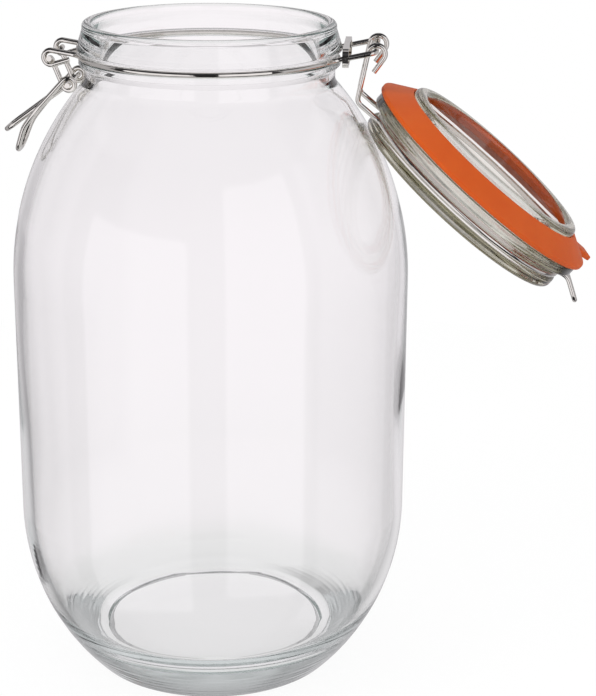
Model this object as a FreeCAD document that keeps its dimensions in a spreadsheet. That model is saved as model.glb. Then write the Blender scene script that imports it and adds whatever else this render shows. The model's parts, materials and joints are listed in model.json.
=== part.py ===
import FreeCAD, Part
import math
import os
import re
import Sketcher

# A clip-top preserving jar of about three litres, standing open and empty: a blown glass jar,
# a pressed glass lid swung right over on its hinge, a rubber ring on the lid's plug, and four
# pieces of bright steel wire or strip: the neck wire with its ring clamp, the lid wire, the
# lever and the link that the lever pulls over the lid's catch.
#
# Frame: +Z up, the jar's axis is Z, the foot stands on Z = 0, the clasp is at -X and the
# hinge at +X. The lid and what it carries are drawn closed, then turned about the hinge.

V = FreeCAD.Vector
doc = FreeCAD.newDocument("clip_top_jar")

SIZES = [
    # the jar's body
    ("jar_height", 252.2, "foot to rim"),
    ("body_radius", 75.0, "outside of the straight wall"),
    ("wall", 3.6, "glass of the body"),
    ("floor_thickness", 16.0, "glass under the jar's inside"),
    ("heel_height", 64.0, "where the straight wall starts"),
    ("heel_radius", 90.0, "long curve below the straight wall"),
    ("foot_radius", 4.0, "short curve from the heel to the foot"),
    ("inner_corner", 20.0, "short curve from the inner wall to the floor"),
    ("foot_width", 2.6, "flat bearing ring"),
    ("punt_depth", 6.0, "domed hollow of the underside"),
    ("shoulder_drop", 96.7, "rim to where the straight wall ends"),
    # the jar's finish, in heights below the rim
    ("bore_radius", 43.2, "inside of the mouth"),
    ("neck_wall", 3.1, "glass of the neck"),
    ("neck_drop", 21.5, "rim to where the shoulder meets the neck"),
    ("neck_fillet", 4.0, "outside curve between shoulder and neck"),
    ("bead_out", 2.0, "bead below the neck wire, beyond the neck"),
    ("bead_width", 2.4, "height of the bead"),
    ("skirt_out", 2.9, "lower edge of the skirt above the neck wire, beyond the neck"),
    ("skirt_height", 7.6, "height of the tapered skirt"),
    ("lip_out", 0.5, "top of the skirt, beyond the neck"),
    ("lip_round", 1.5, "rounding of the rim"),
    ("edge_round", 0.7, "rounding of bead and skirt"),
    ("skirt_play", 0.4, "neck wire to the skirt above it"),
    # steel wire
    ("neck_wire", 2.0, "diameter of the neck wire"),
    ("lid_wire", 1.9, "diameter of the lid wire, and of the link"),
    ("lever_wire", 2.0, "diameter of the lever's wire"),
    ("wire_drop", 11.6, "rim to the middle of the neck wire"),
    ("seat_gap", 0.05, "wire to the glass that it lies on"),
    ("run_gap", 0.06, "wire to the wire that it turns on"),
    ("bend", 4.0, "bend where a wire leaves its groove"),
    # the clasp side of the neck wire
    ("clasp_half", 11.7, "middle of the jar to a clasp hook"),
    ("clasp_leave", 20.0, "where the ring ends, round from the clasp, degrees"),
    ("clasp_reach", 8.7, "neck wire ring to the middle of a hook"),
    ("clasp_drop", 1.0, "middle of a hook below the neck wire ring"),
    ("hook_radius", 2.6, "middle line of a clasp hook"),
    ("hook_end", -73.0, "where a hook's curve ends, degrees"),
    ("hook_tail", 6.2, "straight end of a clasp hook"),
    # the hinge side of the neck wire
    ("hinge_half", 15.0, "middle of the jar to a hinge arm"),
    ("hinge_leave", 23.5, "where the ring ends, round from the hinge, degrees"),
    ("hinge_reach", 13.3, "neck wire ring to the hinge bar"),
    ("hinge_rise", 3.4, "hinge bar above the neck wire ring"),
    ("hinge_bend", 2.2, "corner of the hinge bar"),
    ("arm_start", 2.0, "where a hinge arm starts to rise, inside the neck wire ring"),
    ("clamp_reach", 2.4, "neck wire ring to the middle of the ring clamp"),
    ("clamp_width", 2.2, "strip of the ring clamp"),
    ("clamp_strip", 1.0, "thickness of that strip"),
    ("clamp_height", 5.0, "inside of the ring clamp"),
    # the lid, in heights above its sealing face
    ("seal_rise", 3.3, "rim to the sealing face of the lid, closed"),
    ("plug_gap", 3.8, "bore to the outside of the plug at its tip"),
    ("plug_depth", 10.0, "plug below the sealing face"),
    ("plug_wall", 4.8, "glass of the plug at its tip"),
    ("recess_height", 5.4, "roof of the hollow inside the plug"),
    ("recess_taper", 2.0, "how much the hollow narrows to its roof"),
    ("plug_taper", 0.8, "how much the plug widens to its root"),
    ("flange_out", 1.8, "sealing flange beyond the jar's lip"),
    ("flange_height", 3.8, "sealing flange"),
    ("groove_depth", 5.2, "flange to the bottom of the lid wire's groove"),
    ("groove_height", 7.1, "middle of the lid wire's groove"),
    ("disc_in", 3.0, "outer disc of the lid, inside the flange"),
    ("lid_height", 13.0, "outer face of the lid"),
    ("dish_margin", 7.6, "edge of the disc to the shallow dish in its face"),
    ("dish_depth", 1.2, "shallow dish in the outer face"),
    ("disc_round", 1.6, "rounding of the outer disc"),
    ("plug_round", 2.0, "rounding of the plug's tip"),
    # the rubber ring
    ("ring_out", 4.5, "rubber ring beyond the jar's lip"),
    ("contact_in", 0.6, "where the ring starts to thicken, inside the lip"),
    ("ring_thickness", 1.9, "flat part of the ring"),
    ("sleeve_depth", 7.8, "sleeve round the plug, below the ring's flat face"),
    ("sleeve_wall", 1.2, "rubber at the sleeve's edge"),
    ("sleeve_root", 2.0, "rubber of the sleeve where the ring meets it"),
    ("root_depth", 3.6, "that place, below the ring's flat face"),
    ("ring_squeeze", 0.15, "rubber to the glass on both sides"),
    ("tab_length", 10.0, "pull tab beyond the ring"),
    ("tab_width", 10.0, "pull tab"),
    ("tab_root", 2.0, "pull tab sunk into the ring"),
    ("tab_turn", 20.0, "pull tab round from the catch, degrees"),
    # the lid wire
    ("lid_hook_half", 11.2, "middle of the lid to a hinge hook"),
    ("lid_hook_radius", 3.1, "middle line of a hinge hook"),
    ("lid_hook_end", -175.0, "where a hinge hook's curve ends, degrees"),
    ("lid_hook_tail", 6.0, "straight end of a hinge hook"),
    ("lid_arm_inset", 6.2, "hinge hook to the arm's upper bend"),
    ("lid_arm_bend", 3.0, "that bend"),
    ("lid_arm_leave", 22.0, "where the ring ends, round from the hinge, degrees"),
    ("lid_ring_bend", 3.4, "bend from the ring to an arm"),
    ("lean_gap", 0.3, "open lid to the shoulder that it leans on"),
    ("hang_angle", -80.0, "side of the open hooks that bears on the hinge bar, degrees"),
    ("catch_half", 3.4, "half width of the catch"),
    ("catch_leave", 9.0, "where the ring ends, round from the catch, degrees"),
    ("catch_bend", 2.4, "bend from the ring to the catch"),
    ("catch_curve", 5.0, "bend of the catch"),
    ("catch_reach", 13.9, "lid wire ring to the tip of the catch"),
    ("catch_step", 5.0, "lid wire ring to the catch's bend"),
    ("catch_rise", 4.3, "tip of the catch above the ring"),
    ("catch_dip", 1.1, "bend of the catch below the ring"),
    # the lever, hanging
    ("lever_half", 9.4, "middle of the jar to a lever arm"),
    ("pin_over", 0.8, "pin beyond the hook that it turns in"),
    ("pin_bend", 1.5, "bend from a pin to its arm"),
    ("pin_angle", 206.0, "side of the clasp hooks that carries the pins, degrees"),
    ("eyelet_across", 6.4, "pin to eyelet, towards the jar"),
    ("eyelet_down", 9.8, "pin to eyelet, downwards"),
    ("eyelet_radius", 2.3, "middle line of an eyelet"),
    ("eyelet_pitch", 2.1, "sideways step of the coil"),
    ("handle_across", 12.9, "eyelet to the handle's middle"),
    ("handle_down", 10.6, "eyelet to the handle's middle"),
    ("handle_length", 8.0, "handle's middle to its end bend"),
    ("handle_angle", 232.0, "handle's slope there, degrees"),
    ("handle_curve", 18.0, "bends of the handle"),
    ("handle_bend_half", 8.1, "half width at the end bend"),
    ("handle_end", 10.0, "end bend to the tip"),
    ("handle_end_angle", 250.0, "slope of the tip, degrees"),
    ("handle_tip_half", 4.8, "half width of the tip"),
    # the link, lying on the lever
    ("link_half", 7.0, "middle of the jar to a leg of the link"),
    ("link_length", 31.3, "eyelet to the tip of the link"),
    ("link_angle", 216.3, "slope of the link, degrees"),
    ("link_tip_round", 5.0, "corners of the link's tip"),
]

# Sizes that follow from those above, written once and used by name.
DERIVED = {
    # the jar's outline
    "shoulder_height": "jar_height - shoulder_drop",
    "neck_radius": "bore_radius + neck_wall",
    "heel_turn": "asin((heel_height - foot_radius) / (heel_radius - foot_radius))",
    "heel_x": "body_radius - heel_radius * (1 - cos(heel_turn))",
    "heel_z": "heel_height - heel_radius * sin(heel_turn)",
    "foot_x": "heel_x - foot_radius * cos(heel_turn)",
    "foot_inner_x": "foot_x - foot_width",
    "punt_radius": "(foot_inner_x ^ 2 + punt_depth ^ 2) / (2 * punt_depth)",
    "neck_z": "jar_height - neck_drop",
    "shoulder_rise": "neck_z - shoulder_height",
    "shoulder_step": "body_radius - neck_radius",
    "shoulder_radius": "(shoulder_rise ^ 2 + shoulder_step ^ 2) / (2 * shoulder_step)",
    "shoulder_x": "body_radius - shoulder_radius",
    "outer_reach": "shoulder_radius + neck_fillet",
    "fillet_x": "neck_radius + neck_fillet",
    "fillet_z": "shoulder_height + sqrt(outer_reach ^ 2 - (fillet_x - shoulder_x) ^ 2)",
    "outer_share": "shoulder_radius / outer_reach",
    "shoulder_end_x": "shoulder_x + (fillet_x - shoulder_x) * outer_share",
    "shoulder_end_z": "shoulder_height + (fillet_z - shoulder_height) * outer_share",
    "inner_curve": "shoulder_radius - wall",
    "throat_fillet": "neck_fillet + neck_radius - bore_radius",
    "inner_reach": "inner_curve + throat_fillet",
    "throat_x": "bore_radius + throat_fillet",
    "throat_z": "shoulder_height + sqrt(inner_reach ^ 2 - (throat_x - shoulder_x) ^ 2)",
    "inner_share": "inner_curve / inner_reach",
    "inner_end_x": "shoulder_x + (throat_x - shoulder_x) * inner_share",
    "inner_end_z": "shoulder_height + (throat_z - shoulder_height) * inner_share",
    "inner_radius": "body_radius - wall",
    "inner_heel": "heel_radius - wall",
    "floor_turn": "asin((heel_height - floor_thickness - inner_corner) / (inner_heel - inner_corner))",
    "floor_curve_x": "inner_radius - inner_heel * (1 - cos(floor_turn))",
    "floor_curve_z": "heel_height - inner_heel * sin(floor_turn)",
    "floor_x": "floor_curve_x - inner_corner * cos(floor_turn)",
    # the jar's finish
    "wire_z": "jar_height - wire_drop",
    "bead_radius": "neck_radius + bead_out",
    "skirt_radius": "neck_radius + skirt_out",
    "lip_radius": "neck_radius + lip_out",
    "wire_seat": "neck_wire / 2 + seat_gap",
    "groove_x": "skirt_radius - neck_wire",
    "ring_x": "groove_x + wire_seat",
    "bead_top": "wire_z - wire_seat - seat_gap",
    "bead_foot": "bead_top - bead_width",
    "skirt_z": "wire_z + wire_seat + skirt_play",
    "skirt_top": "skirt_z + skirt_height",
    # the hinge bar and the clasp hooks
    "hinge_x": "ring_x + hinge_reach",
    "hinge_z": "wire_z + hinge_rise",
    "clasp_x": "-(ring_x + clasp_reach)",
    "clasp_z": "wire_z - clasp_drop",
    "pin_play": "hook_radius - neck_wire / 2 - lever_wire / 2 - run_gap",
    "pin_x": "clasp_x + pin_play * cos(pin_angle * 1deg)",
    "pin_z": "clasp_z + pin_play * sin(pin_angle * 1deg)",
    "eyelet_x": "pin_x + eyelet_across",
    "eyelet_z": "pin_z - eyelet_down",
    # the lid
    "seal_z": "jar_height + seal_rise",
    "plug_z": "seal_z - plug_depth",
    "recess_z": "seal_z + recess_height",
    "plug_radius": "bore_radius - plug_gap",
    "plug_inner": "plug_radius - plug_wall",
    "recess_x": "plug_inner - recess_taper",
    "plug_root": "plug_radius + plug_taper",
    "flange_radius": "lip_radius + flange_out",
    "groove_radius": "flange_radius - groove_depth",
    "disc_radius": "flange_radius - disc_in",
    "dish_radius": "disc_radius - dish_margin",
    "flange_z": "seal_z + flange_height",
    "lid_wire_z": "seal_z + groove_height",
    "lid_ring_x": "groove_radius + lid_wire / 2 + seat_gap",
    "groove_low": "lid_wire_z - lid_wire / 2 - seat_gap",
    "disc_z": "lid_wire_z + lid_wire / 2 + seat_gap",
    "top_z": "seal_z + lid_height",
    "dish_z": "top_z - dish_depth",
    # the rubber ring
    "rubber_x": "plug_root + ring_squeeze",
    "rubber_top": "seal_z - ring_squeeze",
    "rubber_low": "rubber_top - ring_thickness",
    "contact_x": "lip_radius - contact_in",
    "sleeve_x": "rubber_x - plug_taper * sleeve_depth / plug_depth",
    "sleeve_z": "rubber_top - sleeve_depth",
    "ring_radius": "lip_radius + ring_out",
}

sheet = doc.addObject("Spreadsheet::Sheet", "sizes")
for row, (alias, size, note) in enumerate(SIZES, start=1):
    sheet.set("A%d" % row, note)
    sheet.set("B%d" % row, str(size))
    sheet.setAlias("B%d" % row, alias)
doc.recompute()
ALIASES = {alias for alias, size, note in SIZES}


def bound(text):
    """An expression in the words above, rewritten for the document's own expressions."""
    def word(match):
        name = match.group(0)
        if name in DERIVED:
            return "(" + bound(DERIVED[name]) + ")"
        return "sizes." + name if name in ALIASES else name
    return re.sub(r"\b[a-z][a-z_]+\b", word, text)


def size(text):
    """The number that such an expression gives now."""
    found = sheet.evalExpression(bound(text))
    return float(getattr(found, "Value", found))


# ---------------------------------------------------------------- turned glass and rubber

def origin_plane(body, role):
    return next(part for part in body.Origin.OriginFeatures if part.Role == role)


def new_sketch(body, name, role):
    sketch = body.newObject("Sketcher::SketchObject", name)
    sketch.AttachmentSupport = (origin_plane(body, role), [""])
    sketch.MapMode = "FlatFace"
    return sketch


def arc_between(start, end, radius, side):
    """The short arc of this radius; its centre lies left (+1) or right (-1) of the travel."""
    chord = end - start
    middle = (start + end) * 0.5
    across = V(-chord.y, chord.x, 0).normalize() * side
    centre = middle + across * math.sqrt(max(radius ** 2 - chord.Length ** 2 / 4, 0))
    first, last = (start, end) if side > 0 else (end, start)
    angles = [math.atan2(point.y - centre.y, point.x - centre.x) for point in (first, last)]
    if angles[1] < angles[0]:
        angles[1] += 2 * math.pi
    return Part.ArcOfCircle(Part.Circle(centre, V(0, 0, 1), radius), angles[0], angles[1])


def outline(sketch, corners):
    """A closed outline. A corner is (x, y), or (x, y, radius, side) where an arc leads to it.

    Every corner's place and every arc's radius is bound to the sheet.
    """
    places = [V(size(corner[0]), size(corner[1]), 0) for corner in corners]
    ends = []
    for index, corner in enumerate(corners):
        start = places[index - 1]
        end = places[index]
        if len(corner) == 2:
            piece = sketch.addGeometry(Part.LineSegment(start, end), False)
            ends.append((piece, 1, 2))
            continue
        piece = sketch.addGeometry(arc_between(start, end, size(corner[2]), corner[3]), False)
        ends.append((piece, 1, 2) if corner[3] > 0 else (piece, 2, 1))
    for index, (piece, start_point, end_point) in enumerate(ends):
        before = ends[index - 1]
        sketch.addConstraint(Sketcher.Constraint("Coincident", before[0], before[2], piece, start_point))
    for index, corner in enumerate(corners):
        piece, start_point, end_point = ends[index]
        place = places[index]
        if corner[0] == "0":
            sketch.addConstraint(Sketcher.Constraint("PointOnObject", piece, end_point, -2))
        else:
            held = sketch.addConstraint(
                Sketcher.Constraint("DistanceX", -1, 1, piece, end_point, place.x))
            sketch.setExpression("Constraints[%d]" % held, bound(corner[0]))
        if corner[1] == "0":
            sketch.addConstraint(Sketcher.Constraint("PointOnObject", piece, end_point, -1))
        else:
            held = sketch.addConstraint(
                Sketcher.Constraint("DistanceY", -1, 1, piece, end_point, place.y))
            sketch.setExpression("Constraints[%d]" % held, bound(corner[1]))
        if len(corner) == 4:
            held = sketch.addConstraint(Sketcher.Constraint("Radius", piece, size(corner[2])))
            sketch.setExpression("Constraints[%d]" % held, bound(corner[2]))


def turned(label, corners):
    """A body turned about Z from a closed outline in the XZ plane."""
    body = doc.addObject("PartDesign::Body", label)
    body.Label = label
    sketch = new_sketch(body, label + "_outline", "XZ_Plane")
    outline(sketch, corners)
    doc.recompute()
    turn = body.newObject("PartDesign::Revolution", label + "_turn")
    turn.Profile = sketch
    turn.ReferenceAxis = (sketch, ["V_Axis"])
    turn.Angle = 360
    doc.recompute()
    return body


def round_edges(body, name, radius, places):
    """Round the circular edges of a turned body that lie at these (x, z) places."""
    base = body.Tip
    names = []
    for across, height in places:
        want = (size(across), size(height))
        for index, edge in enumerate(base.Shape.Edges, start=1):
            curve = None if edge.Degenerated else edge.Curve
            if not isinstance(curve, Part.Circle) or abs(curve.Axis.z) < 0.99:
                continue
            near = abs(curve.Radius - want[0]) + abs(curve.Center.z - want[1])
            if near < 1e-4:
                names.append("Edge%d" % index)
                break
        else:
            raise ValueError("%s: no edge at %s, %s" % (name, across, height))
    fillet = body.newObject("PartDesign::Fillet", name)
    fillet.Base = (base, names)
    fillet.setExpression("Radius", bound(radius))
    doc.recompute()
    return fillet


def make_jar():
    jar = turned("glass_jar", [
        ("0", "punt_depth"),
        ("foot_inner_x", "0", "punt_radius", -1),
        ("foot_x", "0"),
        ("heel_x", "heel_z", "foot_radius", 1),
        ("body_radius", "heel_height", "heel_radius", 1),
        ("body_radius", "shoulder_height"),
        ("shoulder_end_x", "shoulder_end_z", "shoulder_radius", 1),
        ("neck_radius", "fillet_z", "neck_fillet", -1),
        ("neck_radius", "bead_foot - bead_radius + neck_radius"),
        ("bead_radius", "bead_foot"),
        ("bead_radius", "bead_top"),
        ("groove_x", "bead_top"),
        ("groove_x", "skirt_z"),
        ("skirt_radius", "skirt_z"),
        ("lip_radius", "skirt_top"),
        ("lip_radius", "jar_height"),
        ("bore_radius", "jar_height"),
        ("bore_radius", "throat_z"),
        ("inner_end_x", "inner_end_z", "throat_fillet", 1),
        ("inner_radius", "shoulder_height", "inner_curve", -1),
        ("inner_radius", "heel_height"),
        ("floor_curve_x", "floor_curve_z", "inner_heel", -1),
        ("floor_x", "floor_thickness", "inner_corner", -1),
        ("0", "floor_thickness"),
    ])
    round_edges(jar, "rim_rounding", "lip_round",
                [("lip_radius", "jar_height"), ("bore_radius", "jar_height")])
    round_edges(jar, "finish_rounding", "edge_round",
                [("skirt_radius", "skirt_z"), ("bead_radius", "bead_top"),
                 ("bead_radius", "bead_foot"), ("foot_inner_x", "0")])
    return jar


def make_lid():
    lid = turned("lid_glass", [
        ("0", "recess_z"),
        ("recess_x", "recess_z"),
        ("plug_inner", "plug_z"),
        ("plug_radius", "plug_z"),
        ("plug_root", "seal_z"),
        ("flange_radius", "seal_z"),
        ("flange_radius", "flange_z"),
        ("groove_radius", "groove_low"),
        ("groove_radius", "disc_z"),
        ("disc_radius", "disc_z"),
        ("disc_radius", "top_z"),
        ("dish_radius", "top_z"),
        ("dish_radius - dish_depth", "dish_z"),
        ("0", "dish_z"),
    ])
    round_edges(lid, "plug_rounding", "plug_round",
                [("plug_radius", "plug_z"), ("plug_inner", "plug_z"), ("recess_x", "recess_z")])
    round_edges(lid, "disc_rounding", "disc_round",
                [("disc_radius", "top_z"), ("disc_radius", "disc_z")])
    round_edges(lid, "flange_rounding", "edge_round",
                [("flange_radius", "flange_z"), ("flange_radius", "seal_z")])
    return lid


def make_rubber():
    rubber = turned("rubber_ring", [
        ("rubber_x", "rubber_top"),
        ("sleeve_x", "sleeve_z"),
        ("sleeve_x + sleeve_wall", "sleeve_z"),
        ("rubber_x + sleeve_root", "rubber_top - root_depth"),
        ("contact_x", "rubber_low"),
        ("ring_radius", "rubber_low"),
        ("ring_radius", "rubber_top"),
    ])
    tab_sketch = new_sketch(rubber, "rubber_tab_outline", "XY_Plane")
    tab_sketch.AttachmentOffset = FreeCAD.Placement(V(0, 0, 0), FreeCAD.Rotation(V(0, 0, 1), 0))
    tab_sketch.setExpression("AttachmentOffset.Base.z", bound("rubber_low"))
    tab_sketch.setExpression("AttachmentOffset.Rotation.Angle", bound("180 - tab_turn"))
    outline(tab_sketch, [
        ("ring_radius - tab_root", "-tab_width / 2"),
        ("ring_radius + tab_length", "-tab_width / 2"),
        ("ring_radius + tab_length", "tab_width / 2"),
        ("ring_radius - tab_root", "tab_width / 2"),
    ])
    doc.recompute()
    tab = rubber.newObject("PartDesign::Pad", "rubber_tab")
    tab.Profile = tab_sketch
    tab.setExpression("Length", bound("ring_thickness"))
    doc.recompute()
    return rubber


# ---------------------------------------------------------------- bent wire

def flat(x, z, y):
    """A point of a plane that stands across the hinge's axis."""
    return V(x, y, z)


# A bend is this share of the circle that it follows, and a tip this share of its half width.
HOOK_EASE = 0.985
RING_EASE = 0.9998
CATCH_TIP = 0.98
HANDLE_TIP = 0.9


def round_run(centre, radius, start, end, steps, place, drift=0.0, ease=HOOK_EASE):
    """Corners round a circle from one angle to another, each with the bend that follows it.

    The bends are a little tighter than the circle, which leaves room to turn off it at the ends.
    """
    step = (end - start) / steps
    reach = radius / math.cos(math.radians(step / 2))
    corners = []
    for index in range(steps):
        angle = math.radians(start + (index + 0.5) * step)
        across = centre[0] + reach * math.cos(angle)
        up = centre[1] + reach * math.sin(angle)
        corners.append((place(across, up, drift * (index + 0.5) / steps), radius * ease))
    return corners


def touch_angle(centre, radius, point, side):
    """Angle on a circle, in degrees, of the line that touches it and goes to a point."""
    across = point[0] - centre[0]
    up = point[1] - centre[1]
    opening = math.acos(radius / math.hypot(across, up))
    return math.degrees(math.atan2(up, across) + side * opening)


def on_circle(centre, radius, angle):
    turn = math.radians(angle)
    return (centre[0] + radius * math.cos(turn), centre[1] + radius * math.sin(turn))


def wire_path(corners):
    """Straight runs joined by arcs that touch them; a corner is (point, bend radius)."""
    edges = []
    at = corners[0][0]
    for index in range(1, len(corners) - 1):
        corner, radius = corners[index]
        back = (corners[index - 1][0] - corner).normalize()
        ahead = (corners[index + 1][0] - corner).normalize()
        half = back.getAngle(ahead) / 2
        reach = radius / math.tan(half)
        start = corner + back * reach
        end = corner + ahead * reach
        to_centre = (back + ahead).normalize()
        middle = corner + to_centre * (radius / math.sin(half) - radius)
        if (start - at).Length > 1e-4:
            edges.append(Part.LineSegment(at, start).toShape())
        edges.append(Part.Arc(start, middle, end).toShape())
        at = end
    edges.append(Part.LineSegment(at, corners[-1][0]).toShape())
    return Part.Wire(edges)


def bent_wire(label, corners, diameter):
    """A round wire swept along its path, both ends cut square."""
    spine = doc.addObject("Part::Feature", label + "_path")
    spine.Shape = wire_path(corners)
    section = doc.addObject("Part::Circle", label + "_section")
    section.setExpression("Radius", bound(diameter + " / 2"))
    start = corners[0][0]
    section.Placement = FreeCAD.Placement(start, FreeCAD.Rotation(V(0, 0, 1), corners[1][0] - start))
    doc.recompute()
    sweep = doc.addObject("Part::Sweep", label)
    sweep.Sections = [section]
    sweep.Spine = (spine, ["Edge%d" % (count + 1) for count in range(len(spine.Shape.Edges))])
    sweep.Solid = True
    sweep.Frenet = False
    sweep.Transition = "Right corner"
    sweep.Label = label
    doc.recompute()
    return sweep


def mirrored(corners):
    """The same corners on the other side of the XZ plane, in the opposite order."""
    return [(V(point.x, -point.y, point.z), radius) for point, radius in reversed(corners)]


def leave_ring(radius, half, around, height):
    """Where a wire leaves a ring for an arm at this half width, on the side of -Y."""
    turn = math.radians(around)
    along = (radius * math.sin(turn) - half) / math.cos(turn)
    return V(radius * math.cos(turn) + along * math.sin(turn), -half, height)


def neck_wire_corners():
    half = size("clasp_half")
    hinge_half = size("hinge_half")
    ring = size("ring_x")
    height = size("wire_z")
    bend = size("bend")
    hook = (size("clasp_x"), size("clasp_z"))
    radius = size("hook_radius")
    clasp_leave = size("clasp_leave")
    hinge_leave = size("hinge_leave")
    at_clasp = leave_ring(ring, half, clasp_leave, height)
    at_clasp.x = -at_clasp.x
    at_hinge = leave_ring(ring, hinge_half, hinge_leave, height)
    top = touch_angle(hook, radius, (at_clasp.x, at_clasp.z), 1)
    low = size("hook_end")
    low_point = on_circle(hook, radius, low)
    tail = size("hook_tail")
    tail_turn = math.radians(low + 90.0)
    tail_end = V(low_point[0] + tail * math.cos(tail_turn), -half,
                 low_point[1] + tail * math.sin(tail_turn))
    side = [(tail_end, 0.0)]
    side += round_run(hook, radius, low, top - 360.0, 3, lambda x, z, d: flat(x, z, -half))
    side.append((at_clasp, bend))
    side += round_run((0.0, 0.0), ring, 180.0 + clasp_leave, 360.0 - hinge_leave, 4,
                      lambda x, y, d: V(x, y, height), ease=RING_EASE)
    side.append((at_hinge, bend))
    side.append((V(size("hinge_x"), -hinge_half, size("hinge_z")), size("hinge_bend")))
    return side + mirrored(side)


def lid_wire_corners():
    half = size("lid_hook_half")
    ring = size("lid_ring_x")
    height = size("lid_wire_z")
    radius = size("lid_hook_radius")
    play = radius - size("lid_wire / 2") - size("neck_wire / 2") - size("run_gap")
    hang = math.radians(size("hang_angle") + open_angle())
    eye = (size("hinge_x") + play * math.cos(hang), size("hinge_z") + play * math.sin(hang))
    upper = (eye[0] - size("lid_arm_inset"), height)
    arm = touch_angle(eye, radius, upper, -1)
    last = size("lid_hook_end")
    last_point = on_circle(eye, radius, last)
    tail = size("lid_hook_tail")
    tail_turn = math.radians(last - 90.0)
    tail_end = V(last_point[0] + tail * math.cos(tail_turn), -half,
                 last_point[1] + tail * math.sin(tail_turn))
    arm_leave = size("lid_arm_leave")
    catch_leave = size("catch_leave")
    at_hinge = leave_ring(ring, half, arm_leave, height)
    at_catch = leave_ring(ring, size("catch_half"), catch_leave, height)
    at_catch.x = -at_catch.x
    step = size("catch_step")
    reach = size("catch_reach")
    side = [(tail_end, 0.0)]
    side += round_run(eye, radius, last, arm, 3, lambda x, z, d: flat(x, z, -half))
    side.append((V(upper[0], -half, height), size("lid_arm_bend")))
    side.append((at_hinge, size("lid_ring_bend")))
    side += round_run((0.0, 0.0), ring, -arm_leave, catch_leave - 180.0, 4,
                      lambda x, y, d: V(x, y, height), ease=RING_EASE)
    side.append((at_catch, size("catch_bend")))
    side.append((V(-ring - step, -size("catch_half"), height - size("catch_dip")),
                 size("catch_curve")))
    side.append((V(-ring - reach, -size("catch_half"), height + size("catch_rise")),
                 size("catch_half") * CATCH_TIP))
    return side + mirrored(side)


def lever_corners():
    half = size("lever_half")
    pin = (size("pin_x"), size("pin_z"))
    eyelet = (size("eyelet_x"), size("eyelet_z"))
    radius = size("eyelet_radius")
    pitch = size("eyelet_pitch")
    pin_end = -(size("clasp_half") + size("neck_wire") / 2 + size("pin_over"))
    middle = (eyelet[0] - size("handle_across"), eyelet[1] - size("handle_down"))
    arrive = touch_angle(eyelet, radius, pin, 1) - 360.0
    leave = touch_angle(eyelet, radius, middle, -1) - 360.0
    while leave < arrive + 180.0:
        leave += 360.0
    slope = math.radians(size("handle_angle"))
    end_slope = math.radians(size("handle_end_angle"))
    run = size("handle_length")
    end = size("handle_end")
    bend_at = (middle[0] + run * math.cos(slope), middle[1] + run * math.sin(slope))
    tip_at = (bend_at[0] + end * math.cos(end_slope), bend_at[1] + end * math.sin(end_slope))
    tip_half = size("handle_tip_half")
    curve = size("handle_curve")
    side = [(V(pin[0], pin_end, pin[1]), 0.0), (V(pin[0], -half, pin[1]), size("pin_bend"))]
    side += round_run(eyelet, radius, arrive, leave, 4,
                      lambda x, z, d: flat(x, z, -half - d), drift=pitch)
    side.append((V(middle[0], -half - pitch, middle[1]), curve))
    side.append((V(bend_at[0], -size("handle_bend_half"), bend_at[1]), curve))
    side.append((V(tip_at[0], -tip_half, tip_at[1]), tip_half * HANDLE_TIP))
    return side + mirrored(side)


def link_corners():
    half = size("link_half")
    eyelet = V(size("eyelet_x"), 0, size("eyelet_z"))
    slope = math.radians(size("link_angle"))
    tip = eyelet + V(math.cos(slope), 0, math.sin(slope)) * size("link_length")
    pin_end = -(size("lever_half") + size("eyelet_pitch") + size("lever_wire") / 2 + size("pin_over"))
    side = [(V(eyelet.x, pin_end, eyelet.z), 0.0),
            (V(eyelet.x, -half, eyelet.z), size("pin_bend")),
            (V(tip.x, -half, tip.z), size("link_tip_round"))]
    return side + mirrored(side)


# ---------------------------------------------------------------- ring clamp

def stadium(sketch, half_long, half_high, centre_z):
    """A flat oval with round ends, drawn in the YZ plane."""
    straight = "(%s) - (%s)" % (half_long, half_high)
    low = "%s - (%s)" % (centre_z, half_high)
    high = "%s + (%s)" % (centre_z, half_high)
    outline(sketch, [
        ("-(%s)" % straight, low, half_high, 1),
        (straight, low),
        ("%s + (%s)" % (straight, half_high), centre_z, half_high, 1),
        (straight, high, half_high, 1),
        ("-(%s)" % straight, high),
        ("-(%s) - (%s)" % (straight, half_high), centre_z, half_high, 1),
    ])


def make_clamp():
    """The strip bent round both hinge arms, which keeps them from spreading."""
    clamp = doc.addObject("PartDesign::Body", "ring_clamp")
    clamp.Label = "ring_clamp"
    inner_long = "hinge_half + neck_wire / 2 + seat_gap"
    inner_high = "clamp_height / 2"
    centre_z = "wire_z + hinge_rise * (clamp_reach + arm_start) / (hinge_reach + arm_start)"
    pads = []
    for name, grow, kind in (("strip", " + clamp_strip", "PartDesign::Pad"),
                             ("hole", "", "PartDesign::Pocket")):
        sketch = new_sketch(clamp, "clamp_" + name + "_outline", "YZ_Plane")
        sketch.setExpression("AttachmentOffset.Base.z", bound("ring_x + clamp_reach"))
        stadium(sketch, inner_long + grow, inner_high + grow, centre_z)
        doc.recompute()
        feature = clamp.newObject(kind, "clamp_" + name)
        feature.Profile = sketch
        feature.Midplane = True
        feature.setExpression("Length", bound("clamp_width") if not pads else bound("clamp_width * 2"))
        doc.recompute()
        pads.append(feature)
    if pads[1].Shape.Volume > 0.6 * pads[0].Shape.Volume:
        raise ValueError("the clamp's hole cuts nothing")
    return clamp


# ---------------------------------------------------------------- where the loose pieces lie

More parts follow.
